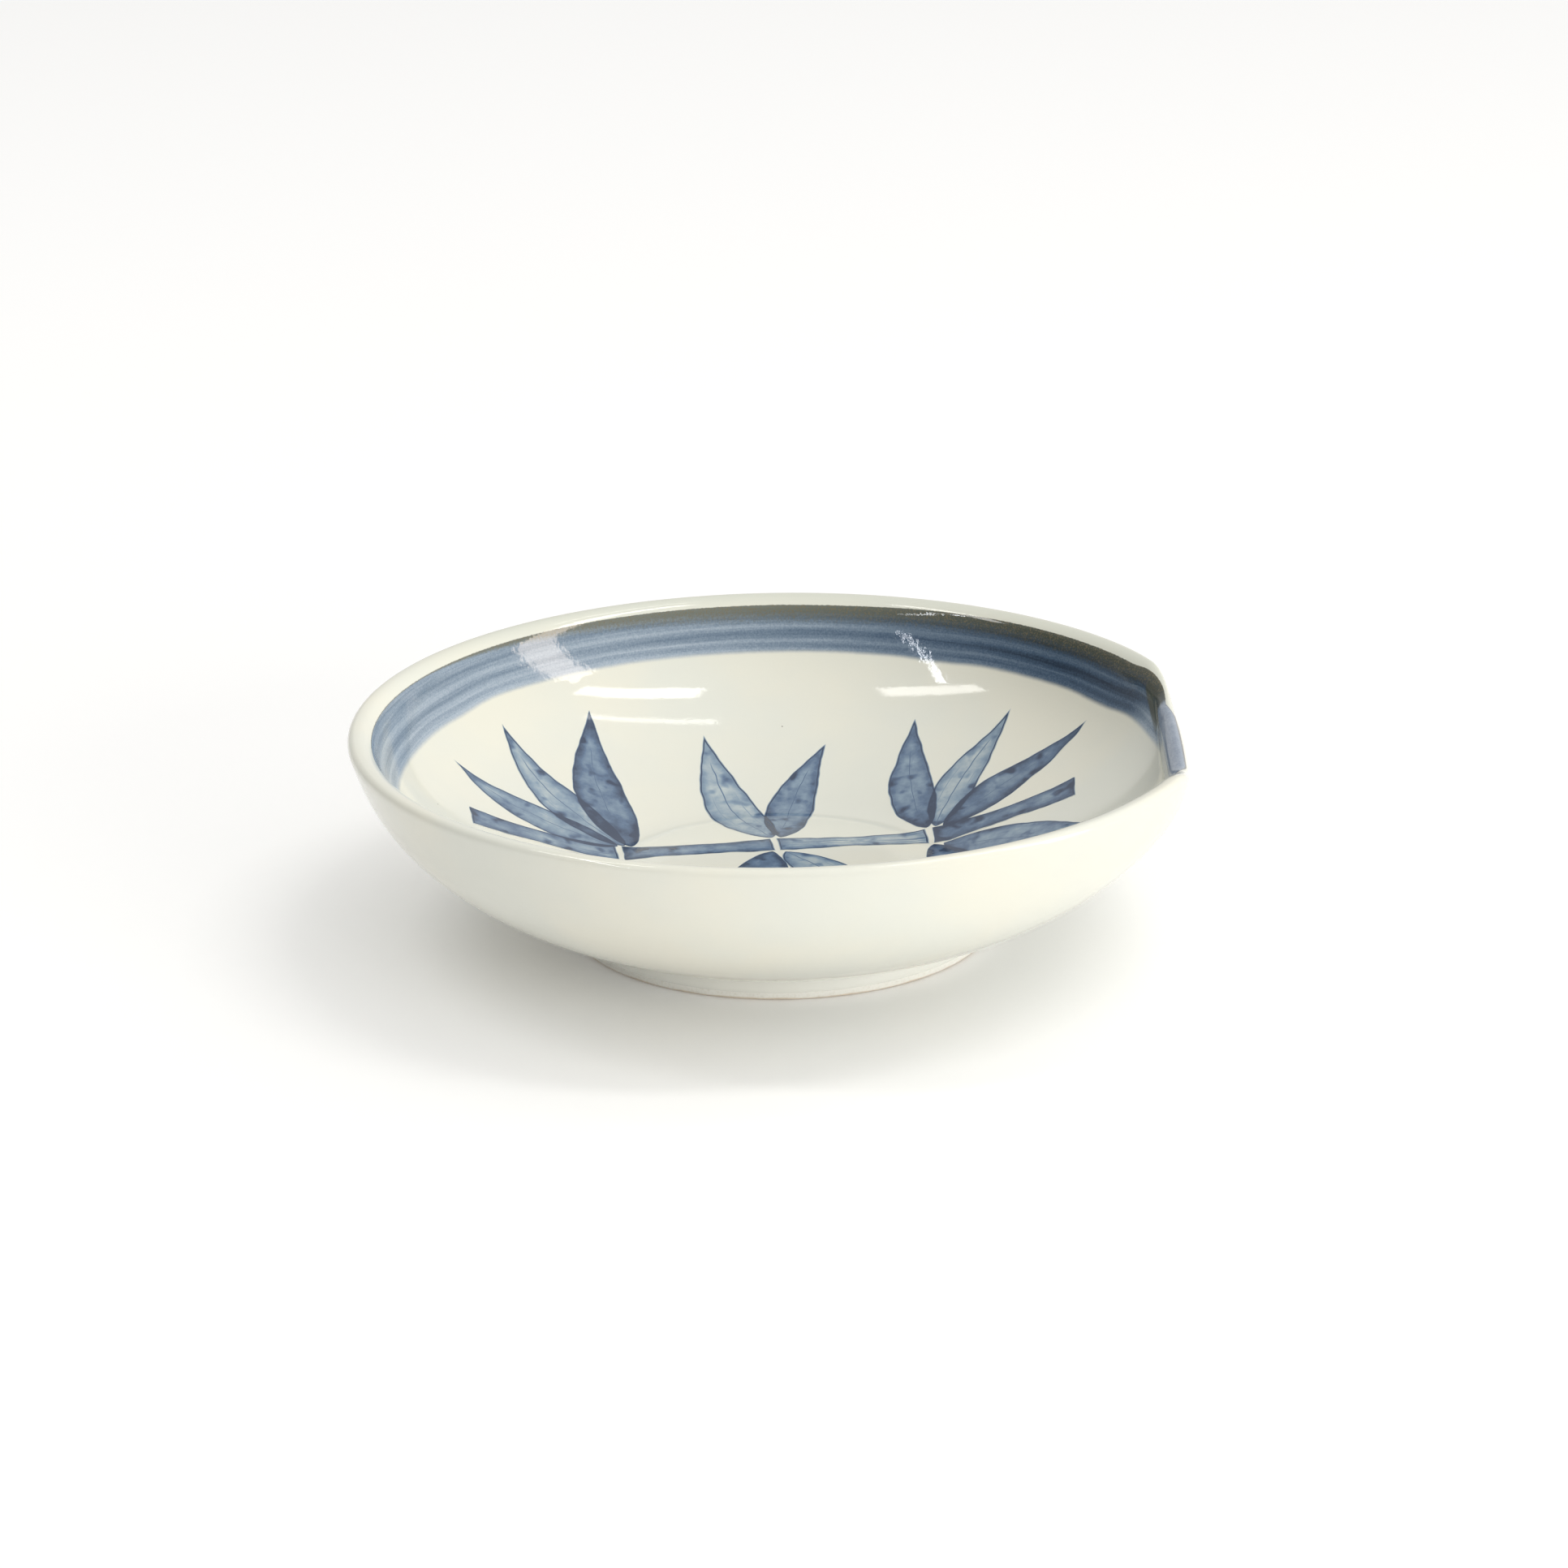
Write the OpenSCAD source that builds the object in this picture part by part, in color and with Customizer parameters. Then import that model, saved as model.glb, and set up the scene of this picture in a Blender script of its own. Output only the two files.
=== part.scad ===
// Small round soy sauce dish in glazed porcelain, with a pinched pouring lip,
// a cobalt band inside the rim and a brushed sprig of bamboo leaves.
// Millimetres, +Z up. The origin is on the table, under the middle of the foot.
// +X runs out through the middle of the pouring lip.

/* [Bowl] */
// Diameter across the rim, away from the pouring lip
rim_d = 100; // [90:1:115]
// Height of the rim above the table
rim_h = 25.1; // [22:0.1:32]
// Lean of the wall at the rim, in degrees from upright
rim_lean = 15.5; // [8:0.5:25]
// Rise of the wall where it leaves the foot, in degrees
base_rise = 20.7; // [15:0.1:28]
// Pull of the outside curve along the base
base_pull = 14.5; // [11:0.5:18]
// Pull of the outside curve down from the rim
rim_pull = 10.9; // [8:0.1:13]
// Radius of the rim's outer edge
rim_out_r = 0.8; // [0.5:0.1:1.2]
// Radius of the rim's inner edge
rim_in_r = 2.4; // [1.8:0.1:3]
// Thickness of the floor over the foot well
floor_t = 3.4; // [2.6:0.1:4.6]
// Diameter of the flat floor
floor_d = 38; // [32:1:42]
// Radius of the bend from the floor to the wall
floor_bend_r = 14; // [9:1:20]

/* [Foot] */
// Diameter of the foot at the table
foot_d = 49.4; // [44:0.2:54]
// Height of the foot
foot_h = 2.6; // [2:0.1:4]
// Width of the foot ring
foot_w = 4.2; // [3:0.1:6]
// Spread of the foot from the table up to the bowl
foot_flare = 0.6; // [0.3:0.1:1.2]
// Radius of the foot's bare edges
foot_edge_r = 0.5; // [0.3:0.1:0.9]
// Height of the wiped strip above the table
foot_wipe_h = 1; // [0.9:0.1:1.3]

/* [Pouring lip] */
// Distance that the lip is pressed in from the round rim
lip_press = 3.4; // [1.5:0.1:5]
// Drop of the lip below the rim
lip_dip = 2.7; // [1:0.1:4]
// Height where the wall starts to bend into the lip
lip_start_h = 12.7; // [9:0.1:15]
// Width of the rim at the lip
lip_edge_w = 2; // [1.6:0.1:2.6]
// Distance to either side over which the crease inside the lip turns
crease_w = 0.3; // [0.1:0.1:0.8]
// Rounding of the sharper corner
near_soft = 0.8; // [0.2:0.1:2]
// Rounding of the gentler corner
far_soft = 2.2; // [0.4:0.1:4]
// Distance that the sharper corner pokes out
corner_out = 0.2; // [0:0.1:1.2]

/* [Glaze] */
// Thickness of the glaze coats
glaze_t = 0.3; // [0.2:0.05:0.45]
// Height of the cobalt band
band_h = 5.8; // [4:0.1:8]

/* [Painting] */
// Length of the painted sprig
sprig_l = 80; // [66:1:82]
// Length of the longest leaf
leaf_l = 26; // [20:0.5:27]
// Width of the widest leaf
leaf_w = 7; // [5:0.1:8]
// Sideways bow of a leaf
leaf_bow = 1.6; // [0.8:0.1:2.4]
// Width of the stalk at its joints
stalk_w = 4.2; // [3:0.1:5.5]
// Gap between two lengths of the stalk
joint_gap = 0.7; // [0.4:0.1:1.2]
// Depth of the brushwork in the inside coat
paint_t = 0.15; // [0.1:0.01:0.18]

/* [Hidden] */

porcelain_rgb = [0.93, 0.91, 0.86];
glaze_rgb = [0.94, 0.93, 0.89];
bare_rgb = [0.78, 0.77, 0.72];
band_rgb = [0.5, 0.56, 0.62];
paint_rgb = [0.42, 0.5, 0.6];

// Steps round the dish and along each stretch of its outline
turn_steps = 70;
wall_steps = 8;
edge_steps = 2;
band_steps = 3;
inner_steps = 6;
bend_steps = 2;
flare_steps = 6;
leaf_steps = 8;
// Degrees by which the steps round the dish crowd towards the lip
turn_crowd = 23;

// Named places on the outline, each as radius and height
rim_r = rim_d / 2;
crest_r = rim_r - rim_out_r;
floor_z = foot_h + floor_t;
joint_r = foot_d / 2 + foot_flare + glaze_t;
joint = [joint_r, foot_h];
out_c = [crest_r, rim_h - rim_out_r];
in_c = [crest_r, rim_h - rim_in_r];
bend_c = [floor_d / 2, floor_z + floor_bend_r];
out_end = polar(out_c, rim_out_r, -rim_lean);
in_end = polar(in_c, rim_in_r, 180 - rim_lean);
in_start = polar(bend_c, floor_bend_r, base_rise - 90);

// The band starts part of the way round the rim's inner edge
band_turn_share = 0.7;
band_turn = 90 + (90 - rim_lean) * band_turn_share;
band_top_z = in_c[1] + rim_in_r * sin(band_turn);
band_low_z = band_top_z - band_h;

// The outside and inside curves share their directions, and their pulls by length
pull_share = norm(in_end - in_start) / norm(out_end - joint);
base_dir = [cos(base_rise), sin(base_rise)];
rim_dir = [sin(rim_lean), cos(rim_lean)];
out_curve = [joint, joint + base_pull * base_dir, out_end - rim_pull * rim_dir, out_end];
in_curve = [in_start, in_start + base_pull * pull_share * base_dir,
            in_end - rim_pull * pull_share * rim_dir, in_end];

// Angles of the lip, counted from its middle
corner_turn = acos((rim_r - lip_press) / rim_r);
dip_start_share = 1.2;
dip_full_share = 0.55;
poke_share = 1.2;
poke_spread_share = 0.28;
lip_reach_turn = 60;
// The face inside the lip stands upright this far along X
lip_face_x = rim_r - lip_press - lip_edge_w;

function polar(c, r, a) = c + r * [cos(a), sin(a)];
function smooth(x) = let (t = min(1, max(0, x))) t * t * (3 - 2 * t);
function unit(v) = v / norm(v);
function curve(p, t) = pow(1 - t, 3) * p[0] + 3 * pow(1 - t, 2) * t * p[1] + 3 * (1 - t) * t * t * p[2]
    + pow(t, 3) * p[3];
function curve_dir(p, t) = unit(pow(1 - t, 2) * (p[1] - p[0]) + 2 * (1 - t) * t * (p[2] - p[1])
    + t * t * (p[3] - p[2]));

// Share of the inside curve at which it reaches a height, found by halving the curve
halvings = 20;
function share_at(z, low, high, tries) = let (mid = (low + high) / 2)
    tries == 0 ? mid
    : curve(in_curve, mid)[1] < z ? share_at(z, mid, high, tries - 1)
    : share_at(z, low, mid, tries - 1);
band_low_share = share_at(band_low_z, 0, 1, halvings);

// A row is a point of the outline, its outward direction, and its place across the
// wall, from 0 outside to 1 inside
rim_w = rim_r - in_end[0];
function side_of(r) = (rim_r - r) / rim_w;
function out_row(t) = let (d = curve_dir(out_curve, t))
    [curve(out_curve, t), t == 0 ? [1, 0] : [d[1], -d[0]], 0];
function in_row(t) = let (d = curve_dir(in_curve, t)) [curve(in_curve, t), [-d[1], d[0]], 1];
function rim_row(c, r, a) = let (p = polar(c, r, a)) [p, [cos(a), sin(a)], side_of(p[0])];
function bend_row(a) = [polar(bend_c, floor_bend_r, a), [-cos(a), -sin(a)], 1];

wall_rows = [for (i = [0:wall_steps]) out_row(i / wall_steps)];
crown_rows = [for (i = [1:edge_steps])
    rim_row(out_c, rim_out_r, -rim_lean + (90 + rim_lean) * i / edge_steps)];
brow_rows = [for (i = [1:edge_steps])
    rim_row(in_c, rim_in_r, 90 + (band_turn - 90) * i / edge_steps)];
edge_row = rim_row(in_c, rim_in_r, 180 - rim_lean);
band_inner_rows = [for (i = [1:band_steps]) in_row(1 - (1 - band_low_share) * i / band_steps)];
inner_rows = [for (i = [1:inner_steps]) in_row(band_low_share * (1 - i / inner_steps))];
bend_rows = [for (i = [1:bend_steps]) bend_row(base_rise - 90 - base_rise * i / bend_steps)];

outer_skin = concat(wall_rows, crown_rows, brow_rows);
band_skin = concat([brow_rows[edge_steps - 1], edge_row], band_inner_rows);
inner_skin = concat([band_inner_rows[band_steps - 1]], inner_rows, bend_rows);
whole_skin = concat(outer_skin, [edge_row], band_inner_rows, inner_rows, bend_rows);

// Directions of the steps round the dish, closest together at the lip
turns = [for (i = [0:turn_steps - 1]) let (u = 360 * i / turn_steps) u - turn_crowd * sin(u)];

// The lip: how far it is pressed in, and how fully a place belongs to it
function from_lip(a) = a > 180 ? a - 360 : a;
function soft_cut(x, k) = (x + sqrt(x * x + k * k)) / 2;
function lip_soft(a, side) = near_soft
    + (far_soft - near_soft) * (1 - side) * smooth(0.5 + a / (2 * corner_turn));
function lip_cut(a, side) = abs(a) > lip_reach_turn ? 0
    : soft_cut(rim_r - (rim_r - lip_press) / cos(a), lip_soft(a, side));
function lip_poke(a) = corner_out * exp(-pow((a / corner_turn + poke_share) / poke_spread_share, 2));
function lip_full(a) = 1 - smooth((abs(a) / corner_turn - dip_full_share)
    / (dip_start_share - dip_full_share));
function lip_climb(z) = pow(max(0, (z - lip_start_h) / (rim_h - lip_start_h)), 2);
function crease_cut(x) = x <= -crease_w ? 0
    : x >= crease_w ? x
    : pow(x + crease_w, 2) / (4 * crease_w);
function lip_face(r, a) = abs(a) > lip_reach_turn ? 0
    : crease_cut(min(r, in_end[0]) - lip_face_x / cos(a));

// A point under a row of the outline, turned to an angle and bent by the lip
function place(row, depth, turn) = let (a = from_lip(turn), p = row[0] - depth * row[1],
    side = row[2] + depth * row[1][0] / rim_w, h = lip_climb(p[1]),
    r = p[0] + h * (lip_poke(a) - (1 - side) * lip_cut(a, side)) - side * lip_face(row[0][0], a))
    [r * cos(a), r * sin(a), p[1] - lip_dip * lip_full(a) * h];
function sheet(rows, depth) = [for (row = rows) for (turn = turns) place(row, depth, turn)];

// Faces of a sheet of points, and of the strips and discs that close it
function at(row, i, start) = start + row * turn_steps + i % turn_steps;
function halves(q) = [[q[0], q[1], q[2]], [q[0], q[2], q[3]]];
function sheet_faces(count, start, turned) = [for (k = [0:count - 2]) for (i = [0:turn_steps - 1])
    let (q = [at(k, i, start), at(k + 1, i, start), at(k + 1, i + 1, start), at(k, i + 1, start)])
    each halves(turned ? [q[3], q[2], q[1], q[0]] : q)];
function strip_faces(row, start, other, turned) = [for (i = [0:turn_steps - 1])
    let (q = [at(row, i, start), at(row, i + 1, start), at(row, i + 1, other), at(row, i, other)])
    each halves(turned ? [q[3], q[2], q[1], q[0]] : q)];
function disc_faces(row, start, middle, turned) = [for (i = [0:turn_steps - 1])
    turned ? [middle, at(row, i + 1, start), at(row, i, start)]
    : [middle, at(row, i, start), at(row, i + 1, start)]];

// A coat of glaze over a run of rows, open at both ends
module coat(rows) {
    count = len(rows);
    under = count * turn_steps;
    polyhedron(
        points = concat(sheet(rows, 0), sheet(rows, glaze_t)),
        faces = concat(sheet_faces(count, 0, false), sheet_faces(count, under, true),
                       strip_faces(0, 0, under, false), strip_faces(count - 1, 0, under, true)),
        convexity = 6);
}

// A coat on the inside from the band down, which closes over the floor
module floor_coat(depth) {
    count = len(inner_skin);
    under = count * turn_steps;
    middle = 2 * under;
    polyhedron(
        points = concat(sheet(inner_skin, 0), sheet(inner_skin, depth),
                        [[0, 0, floor_z], [0, 0, floor_z - depth]]),
        faces = concat(sheet_faces(count, 0, false), sheet_faces(count, under, true),
                       strip_faces(0, 0, under, false), disc_faces(count - 1, 0, middle, true),
                       disc_faces(count - 1, under, middle + 1, false)),
        convexity = 6);
}

// The room above the brushwork's depth, up to the band
module painting_room() {
    count = len(inner_skin);
    middle = count * turn_steps;
    polyhedron(
        points = concat(sheet(inner_skin, paint_t), [[0, 0, floor_z - paint_t], [0, 0, band_low_z]]),
        faces = concat(sheet_faces(count, 0, true), disc_faces(count - 1, 0, middle, false),
                       disc_faces(0, 0, middle + 1, true)),
        convexity = 6);
}

// Leaves as place along and across the sprig, direction in degrees, and size
leaf_shares = [
    [-0.245, 0.115, 165, 0.78], [-0.235, 0.12, 134, 0.85], [-0.225, 0.12, 104, 0.95],
    [-0.015, 0.155, 112, 0.9], [-0.002, 0.155, 76, 0.82],
    [0.215, 0.178, 93, 0.8], [0.228, 0.178, 61, 0.76], [0.24, 0.172, 28, 0.76],
    [-0.245, 0.058, -152, 0.85], [-0.23, 0.058, -112, 1],
    [-0.015, 0.095, -108, 1], [0.005, 0.095, -62, 0.9],
    [0.225, 0.12, -78, 0.85], [0.24, 0.12, -36, 0.95]];
// Joints of the stalk along and across the sprig, from its cut end
stalk_shares = [[-0.46, 0.05], [-0.24, 0.09], [-0.01, 0.125], [0.22, 0.15], [0.44, 0.155]];
// Share of its width that the stalk loses halfway between two joints
waist_share = 0.24;
// Steps along the stalk between two joints
stalk_steps = 4;
// Where along a stroke it is widest, as the power that places the bulge
bulge_share = 0.7;

function stroke_side(l, w, bow, side) = [for (i = [0:leaf_steps]) let (t = i / leaf_steps)
    [l * t, bow * sin(180 * t) + side * w / 2 * sin(180 * pow(t, bulge_share))]];

// One brush stroke from the origin along X, pointed at both ends
module stroke(l, w, bow) {
    upper = stroke_side(l, w, bow, 1);
    lower = stroke_side(l, w, bow, -1);
    polygon(concat(upper, [for (i = [leaf_steps - 1:-1:1]) lower[i]]));
}

function stalk_side(l, side) = [for (i = [0:stalk_steps]) let (t = i / stalk_steps)
    [joint_gap / 2 + (l - joint_gap) * t, side * stalk_w / 2 * (1 - waist_share * sin(180 * t))]];

// One length of the stalk from a joint at the origin along X, drawn in between its ends
module stalk(l) {
    lower = stalk_side(l, -1);
    polygon(concat(stalk_side(l, 1), [for (i = [stalk_steps:-1:0]) lower[i]]));
}

module sprig() {
    for (s = leaf_shares)
        translate([s[0], s[1]] * sprig_l)
            rotate(s[2])
                stroke(leaf_l * s[3], leaf_w * s[3], leaf_bow * s[3]);
    for (i = [1:len(stalk_shares) - 1]) {
        from = stalk_shares[i - 1] * sprig_l;
        run = stalk_shares[i] * sprig_l - from;
        translate(from)
            rotate(atan2(run[1], run[0]))
                stalk(norm(run));
    }
}

module sprig_prism() {
    linear_extrude(rim_h)
        sprig();
}

// The foot's outside radius at a height, before its glaze
function foot_r(z) = foot_d / 2 + foot_flare * pow(z / foot_h, 2);
foot_in_r = foot_d / 2 - foot_w;
foot_side = [for (i = [0:flare_steps]) let (z = foot_edge_r + (foot_h - foot_edge_r) * i / flare_steps)
    [foot_r(z), z]];
wiped_side = [for (i = [0:flare_steps]) let (z = foot_wipe_h + (foot_h - foot_wipe_h) * i / flare_steps)
    [foot_r(z), z]];

// Bowl: one polyhedron from the foot plane over the rim to the floor
module porcelain_body() {
    count = len(whole_skin);
    middle = count * turn_steps;
    color(porcelain_rgb)
        polyhedron(
            points = concat(sheet(whole_skin, glaze_t), [[0, 0, foot_h], [0, 0, floor_z - glaze_t]]),
            faces = concat(sheet_faces(count, 0, false), disc_faces(0, 0, middle, false),
                           disc_faces(count - 1, 0, middle + 1, true)),
            convexity = 6);
}

// Foot ring: rounded bare edges, a flared outside and a straight inside
module foot_ring() {
    color(bare_rgb)
        rotate_extrude($fn = turn_steps)
            union() {
                polygon(concat(foot_side, [[foot_in_r, foot_h], [foot_in_r, foot_edge_r]]));
                translate([foot_in_r + foot_edge_r, 0])
                    square([foot_w - 2 * foot_edge_r, foot_h]);
                for (r = [foot_in_r + foot_edge_r, foot_d / 2 - foot_edge_r])
                    translate([r, foot_edge_r])
                        circle(foot_edge_r, $fn = turn_steps);
            }
}

module blue_band() {
    color(band_rgb)
        coat(band_skin);
}

// Brushwork sunk into the upper part of the inside coat
module bamboo_painting() {
    color(paint_rgb)
        intersection() {
            floor_coat(paint_t);
            sprig_prism();
        }
}

// Inside coat, one unbroken shell with a shallow place for each brush stroke
module inner_glaze() {
    color(glaze_rgb)
        difference() {
            floor_coat(glaze_t);
            intersection() {
                painting_room();
                sprig_prism();
            }
        }
}

module outer_glaze() {
    color(glaze_rgb)
        coat(outer_skin);
}

// Coat on the outside of the foot, from the wiped line up to the bowl
module foot_glaze() {
    outside = [for (i = [flare_steps:-1:0]) wiped_side[i] + [glaze_t, 0]];
    color(glaze_rgb)
        rotate_extrude($fn = turn_steps)
            polygon(concat(wiped_side, outside));
}

// Coat on the underside within the foot, down its inner side to the wiped line
module foot_well_glaze() {
    color(glaze_rgb)
        rotate_extrude($fn = turn_steps)
            polygon([[0, foot_h], [foot_in_r, foot_h], [foot_in_r, foot_wipe_h],
                     [foot_in_r - glaze_t, foot_wipe_h], [foot_in_r - glaze_t, foot_h - glaze_t],
                     [0, foot_h - glaze_t]]);
}

porcelain_body();
foot_ring();
blue_band();
bamboo_painting();
inner_glaze();
outer_glaze();
foot_glaze();
foot_well_glaze();
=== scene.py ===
"""Soy sauce dish with a pouring lip: the looks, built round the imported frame.

+Z is up, and +X runs out through the middle of the pouring lip. Sizes are in millimetres
and become metres as each mesh is made.
"""
import math
from types import SimpleNamespace

import bmesh
import bpy
from mathutils import Matrix, Vector


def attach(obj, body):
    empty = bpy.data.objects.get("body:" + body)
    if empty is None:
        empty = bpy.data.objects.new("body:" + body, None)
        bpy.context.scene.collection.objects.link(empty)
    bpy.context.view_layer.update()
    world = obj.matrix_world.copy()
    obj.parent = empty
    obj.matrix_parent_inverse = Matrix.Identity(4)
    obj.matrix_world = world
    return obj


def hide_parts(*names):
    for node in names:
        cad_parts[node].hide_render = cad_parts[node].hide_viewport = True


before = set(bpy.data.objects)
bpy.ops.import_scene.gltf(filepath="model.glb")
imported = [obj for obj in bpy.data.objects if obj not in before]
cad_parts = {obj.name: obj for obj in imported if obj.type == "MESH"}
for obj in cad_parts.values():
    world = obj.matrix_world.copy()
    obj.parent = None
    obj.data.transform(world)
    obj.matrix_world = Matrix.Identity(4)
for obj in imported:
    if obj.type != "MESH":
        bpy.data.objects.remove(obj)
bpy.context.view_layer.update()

MM = 0.001

# Bowl
RIM_R = 50
RIM_H = 25.1
RIM_LEAN = 15.5
BASE_RISE = 20.7
BASE_PULL = 14.5
RIM_PULL = 10.9
RIM_OUT_R = 0.8
RIM_IN_R = 2.4
FLOOR_R = 19
FLOOR_Z = 6
FLOOR_BEND_R = 14

# Foot
FOOT_R = 24.7
FOOT_H = 2.6
FOOT_W = 4.2
FOOT_FLARE = 0.6
FOOT_EDGE_R = 0.5
FOOT_WIPE_H = 1

# Pouring lip: how far it is pressed in and down, where it starts, and the width of its edge
LIP_PRESS = 3.4
LIP_DIP = 2.7
LIP_START_H = 12.7
LIP_EDGE_W = 2
CREASE_W = 0.3
# Softness of the near and far corner, and how far the near one stands out
NEAR_SOFT = 0.8
FAR_SOFT = 2.2
CORNER_OUT = 0.2
# Places round the lip, in shares of the turn from its middle to a corner
DIP_START_SHARE = 1.2
DIP_FULL_SHARE = 0.55
POKE_SHARE = 1.2
POKE_SPREAD_SHARE = 0.28
LIP_REACH_TURN = 60

# Glaze
GLAZE_T = 0.3
BAND_H = 5.8
BAND_TURN_SHARE = 0.7

# Painting
SPRIG_L = 80
LEAF_L = 26
LEAF_W = 7
LEAF_BOW = 1.6
STALK_W = 4.2
JOINT_GAP = 0.7
PAINT_T = 0.15
# Height of the brushwork over the coat round it, which keeps the two apart
PAINT_LIFT = 0.015
LAYER_LIFT = 0.0015

# Steps round the dish, which crowd at the lip, and along its outline
TURN_STEPS = 320
TURN_CROWD = 36
WALL_STEPS = 44
CROWN_STEPS = 10
BROW_STEPS = 6
EDGE_STEPS = 3
BAND_STEPS = 26
INNER_STEPS = 44
BEND_STEPS = 16
FLOOR_STEPS = 10


# Curves and angles

def cosine(turn):
    return math.cos(math.radians(turn))


def sine(turn):
    return math.sin(math.radians(turn))


def smooth(x):
    t = min(1, max(0, x))
    return t * t * (3 - 2 * t)


def polar(centre, r, turn):
    return Vector((centre[0] + r * cosine(turn), centre[1] + r * sine(turn)))


def curve(points, t):
    a, b, c, d = points
    return (1 - t) ** 3 * a + 3 * (1 - t) ** 2 * t * b + 3 * (1 - t) * t * t * c + t ** 3 * d


def curve_dir(points, t):
    a, b, c, d = points
    return ((1 - t) ** 2 * (b - a) + 2 * (1 - t) * t * (c - b) + t * t * (d - c)).normalized()


# Named places on the outline, each as radius and height
CREST_R = RIM_R - RIM_OUT_R
JOINT = Vector((FOOT_R + FOOT_FLARE + GLAZE_T, FOOT_H))
OUT_C = Vector((CREST_R, RIM_H - RIM_OUT_R))
IN_C = Vector((CREST_R, RIM_H - RIM_IN_R))
BEND_C = Vector((FLOOR_R, FLOOR_Z + FLOOR_BEND_R))
OUT_END = polar(OUT_C, RIM_OUT_R, -RIM_LEAN)
IN_END = polar(IN_C, RIM_IN_R, 180 - RIM_LEAN)
IN_START = polar(BEND_C, FLOOR_BEND_R, BASE_RISE - 90)
BAND_TURN = 90 + (90 - RIM_LEAN) * BAND_TURN_SHARE
BAND_TOP_Z = IN_C[1] + RIM_IN_R * sine(BAND_TURN)
BAND_LOW_Z = BAND_TOP_Z - BAND_H
PULL_SHARE = (IN_END - IN_START).length / (OUT_END - JOINT).length
BASE_DIR = Vector((cosine(BASE_RISE), sine(BASE_RISE)))
RIM_DIR = Vector((sine(RIM_LEAN), cosine(RIM_LEAN)))
OUT_CURVE = [JOINT, JOINT + BASE_PULL * BASE_DIR, OUT_END - RIM_PULL * RIM_DIR, OUT_END]
IN_CURVE = [IN_START, IN_START + BASE_PULL * PULL_SHARE * BASE_DIR,
            IN_END - RIM_PULL * PULL_SHARE * RIM_DIR, IN_END]
CORNER_TURN = math.degrees(math.acos((RIM_R - LIP_PRESS) / RIM_R))
RIM_W = RIM_R - IN_END[0]
LIP_FACE_X = RIM_R - LIP_PRESS - LIP_EDGE_W


def share_at(z):
    """Share of the inside curve at which it reaches a height, found by halving."""
    low, high = 0.0, 1.0
    while high - low > 1e-6:
        mid = (low + high) / 2
        if curve(IN_CURVE, mid)[1] < z:
            low = mid
        else:
            high = mid
    return low


# Rows of the outline: point, outward direction, and place across the wall from 0 to 1

def out_row(t):
    d = curve_dir(OUT_CURVE, t)
    return curve(OUT_CURVE, t), Vector((1, 0)) if t == 0 else Vector((d[1], -d[0])), 0


def in_row(t):
    d = curve_dir(IN_CURVE, t)
    return curve(IN_CURVE, t), Vector((-d[1], d[0])), 1


def rim_row(centre, r, turn):
    point = polar(centre, r, turn)
    return point, Vector((cosine(turn), sine(turn))), (RIM_R - point[0]) / RIM_W


def bend_row(turn):
    return polar(BEND_C, FLOOR_BEND_R, turn), Vector((-cosine(turn), -sine(turn))), 1


def floor_row(share):
    return Vector((FLOOR_R * share, FLOOR_Z)), Vector((0, 1)), 1


def steps(count):
    return [i / count for i in range(1, count + 1)]


BAND_LOW_SHARE = share_at(BAND_LOW_Z)
WALL_ROWS = [out_row(i / WALL_STEPS) for i in range(WALL_STEPS + 1)]
CROWN_ROWS = [rim_row(OUT_C, RIM_OUT_R, -RIM_LEAN + (90 + RIM_LEAN) * t)
              for t in steps(CROWN_STEPS)]
BROW_ROWS = [rim_row(IN_C, RIM_IN_R, 90 + (BAND_TURN - 90) * t) for t in steps(BROW_STEPS)]
EDGE_ROWS = [rim_row(IN_C, RIM_IN_R, BAND_TURN + (180 - RIM_LEAN - BAND_TURN) * t)
             for t in steps(EDGE_STEPS)]
BAND_ROWS = [in_row(1 - (1 - BAND_LOW_SHARE) * t) for t in steps(BAND_STEPS)]
INNER_ROWS = [in_row(BAND_LOW_SHARE * (1 - t)) for t in steps(INNER_STEPS)]
BEND_ROWS = [bend_row(BASE_RISE - 90 - BASE_RISE * t) for t in steps(BEND_STEPS)]
FLOOR_ROWS = [floor_row(1 - t) for t in steps(FLOOR_STEPS)[:-1]]

OUTER_SKIN = WALL_ROWS + CROWN_ROWS + BROW_ROWS
BAND_SKIN = [BROW_ROWS[-1]] + EDGE_ROWS + BAND_ROWS
INNER_SKIN = [BAND_ROWS[-1]] + INNER_ROWS + BEND_ROWS + FLOOR_ROWS
WHOLE_SKIN = OUTER_SKIN + EDGE_ROWS + BAND_ROWS + INNER_ROWS + BEND_ROWS + FLOOR_ROWS


def run_of(rows, start):
    """Distance of each row along the outline, from start at the first."""
    runs = [start]
    for before, row in zip(rows, rows[1:]):
        runs.append(runs[-1] + (row[0] - before[0]).length)
    return runs


OUTER_RUN = run_of(OUTER_SKIN, 0)
OUTER_RUN = [run - OUTER_RUN[-1] for run in OUTER_RUN]
BAND_RUN = run_of(BAND_SKIN, 0)
INNER_RUN = run_of(INNER_SKIN, BAND_RUN[-1])
WHOLE_RUN = run_of(WHOLE_SKIN, OUTER_RUN[0])


# The lip

def soft_cut(x, k):
    return (x + math.sqrt(x * x + k * k)) / 2


def lip_soft(turn, side):
    return NEAR_SOFT + (FAR_SOFT - NEAR_SOFT) * (1 - side) * smooth(0.5 + turn / (2 * CORNER_TURN))


def lip_cut(turn, side):
    if abs(turn) > LIP_REACH_TURN:
        return 0
    return soft_cut(RIM_R - (RIM_R - LIP_PRESS) / cosine(turn), lip_soft(turn, side))


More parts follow.
